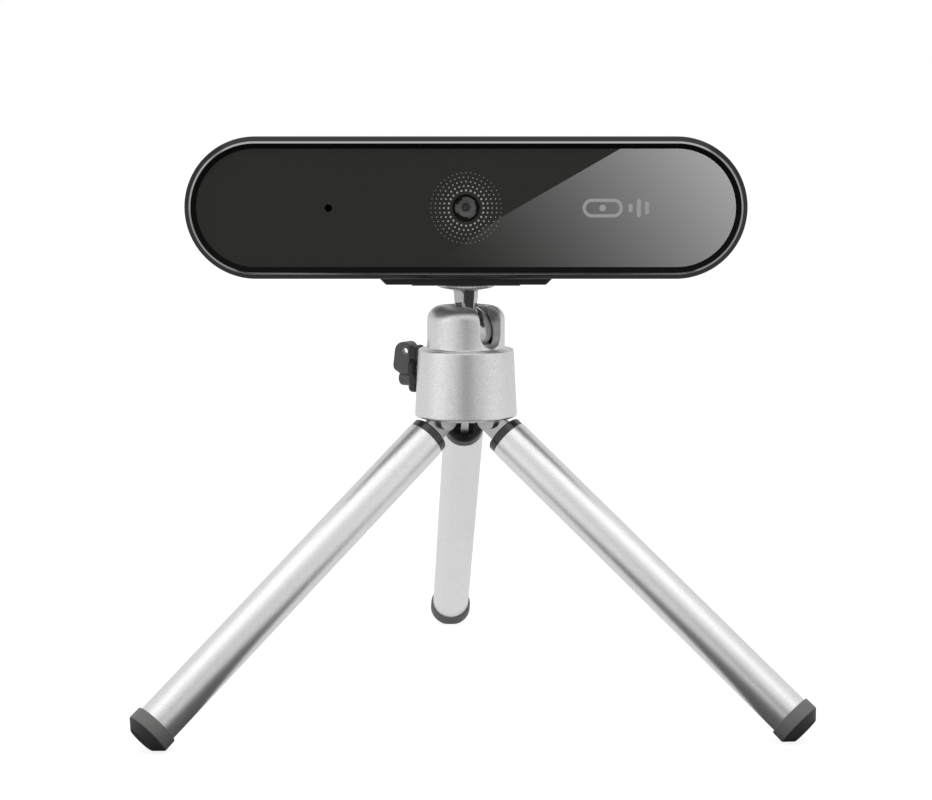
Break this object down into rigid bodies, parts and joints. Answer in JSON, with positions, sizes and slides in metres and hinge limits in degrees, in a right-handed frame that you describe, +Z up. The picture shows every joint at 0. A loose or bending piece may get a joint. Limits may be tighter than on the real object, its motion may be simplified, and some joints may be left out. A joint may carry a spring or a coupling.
{
  "type": "webcam on tripod",
  "caption": "Wide webcam with rounded ends and a folding clip, on a folding mini tripod with a slotted ball head and rubber feet.",
  "frame": {"origin": "on the floor at the middle of the footprint's box, with the three feet on z = 0", "axes": "+Z up, -Y the way the camera looks, +X to the right as seen from in front of it"},
  "size_m": [0.13, 0.117, 0.1144],
  "materials": {
    "head_paint": "silver metallic paint with a fine sparkle",
    "tube_metal": "satin anodised, grain along the tube",
    "steel": "bright steel",
    "chrome": "polished plating",
    "knurled_steel": "knurled rim",
    "brass": "turned, fine tool marks",
    "black_satin": "satin moulded plastic",
    "black_gloss": "polished moulded plastic",
    "shell_black": "fine moulded grain",
    "panel_black": "glossy acrylic with printed dots",
    "rubber": "matte rubber",
    "nylon": "unpolished nylon",
    "board": "solder-masked circuit board",
    "chip": "moulded chip package",
    "connector": "moulded connector",
    "tape": "adhesive foam tape",
    "barrel": "threaded lens barrel",
    "lens_glass": "coated lens glass",
    "sensor": "sensor cover glass"
  },
  "bodies": {
    "head": {"head_casting": "head_paint", "leg_yoke": "steel", "leg_hinge_pins": "steel", "yoke_rivet": "steel", "ball_seat": "nylon"},
    "leg_1": {"leg_tube_1": "tube_metal", "foot_cap_1": "rubber", "leg_plug_1": "black_satin", "leg_lug_1": "steel", "plug_pin_1": "steel"},
    "leg_2": {"leg_tube_2": "tube_metal", "foot_cap_2": "rubber", "leg_plug_2": "black_satin", "leg_lug_2": "steel", "plug_pin_2": "steel"},
    "leg_3": {"leg_tube_3": "tube_metal", "foot_cap_3": "rubber", "leg_plug_3": "black_satin", "leg_lug_3": "steel", "plug_pin_3": "steel"},
    "knob": {"lock_knob": "black_satin", "clamp_screw": "steel"},
    "ball": {"ball_stud": "chrome", "locking_plate": "knurled_steel"},
    "clip_leg": {"clip_arm": "black_satin", "thread_insert": "brass", "clip_arm_pad": "rubber"},
    "clip": {"clip_frame": "black_satin", "clip_pin": "steel"},
    "camera": {"bezel_frame": "black_gloss", "rear_shell": "shell_black", "front_panel": "panel_black", "cable_gland": "rubber", "panel_tape": "tape", "main_board": "board", "board_screws": "steel", "board_chips": "chip", "cable_header": "connector", "image_sensor": "sensor", "lens_holder": "black_satin", "lens_barrel": "barrel", "lens_elements": "lens_glass", "mic_boot": "rubber", "mic_capsule": "steel"}
  },
  "joints": [
    {"name": "leg_1_fold", "type": "hinge", "parent": "head", "child": "leg_1", "pos_m": [-0.00208, -0.01021, 0.05792], "axis": [-0.9986, -0.0523, 0], "range_deg": [0, 50]},
    {"name": "leg_2_fold", "type": "hinge", "parent": "head", "child": "leg_2", "pos_m": [-0.00633, -0.01854, 0.05792], "axis": [0.5446, -0.8387, 0], "range_deg": [0, 50]},
    {"name": "leg_3_fold", "type": "hinge", "parent": "head", "child": "leg_3", "pos_m": [0.00301, -0.01805, 0.05792], "axis": [0.454, 0.891, 0], "range_deg": [0, 50]},
    {"name": "ball_tilt", "type": "hinge", "parent": "head", "child": "ball", "pos_m": [-0.0018, -0.0156, 0.07536], "axis": [0.7431, 0.6691, 0], "range_deg": [-12, 60]},
    {"name": "camera_swivel", "type": "hinge", "parent": "ball", "child": "clip_leg", "pos_m": [-0.0018, -0.0156, 0.08496], "axis": [0, 0, 1], "continuous": true},
    {"name": "clip_fold", "type": "hinge", "parent": "clip_leg", "child": "clip", "pos_m": [-0.0018, -0.006, 0.08771], "axis": [-1, 0, 0], "range_deg": [0, 90]},
    {"name": "camera_tilt", "type": "hinge", "parent": "clip", "child": "camera", "pos_m": [-0.0018, -0.006, 0.08771], "axis": [-1, 0, 0], "range_deg": [0, 30]},
    {"name": "knob_turn", "type": "hinge", "parent": "head", "child": "knob", "pos_m": [-0.0018, -0.0156, 0.06756], "axis": [-0.8746, 0.4848, 0], "range_deg": [0, 270]}
  ]
}
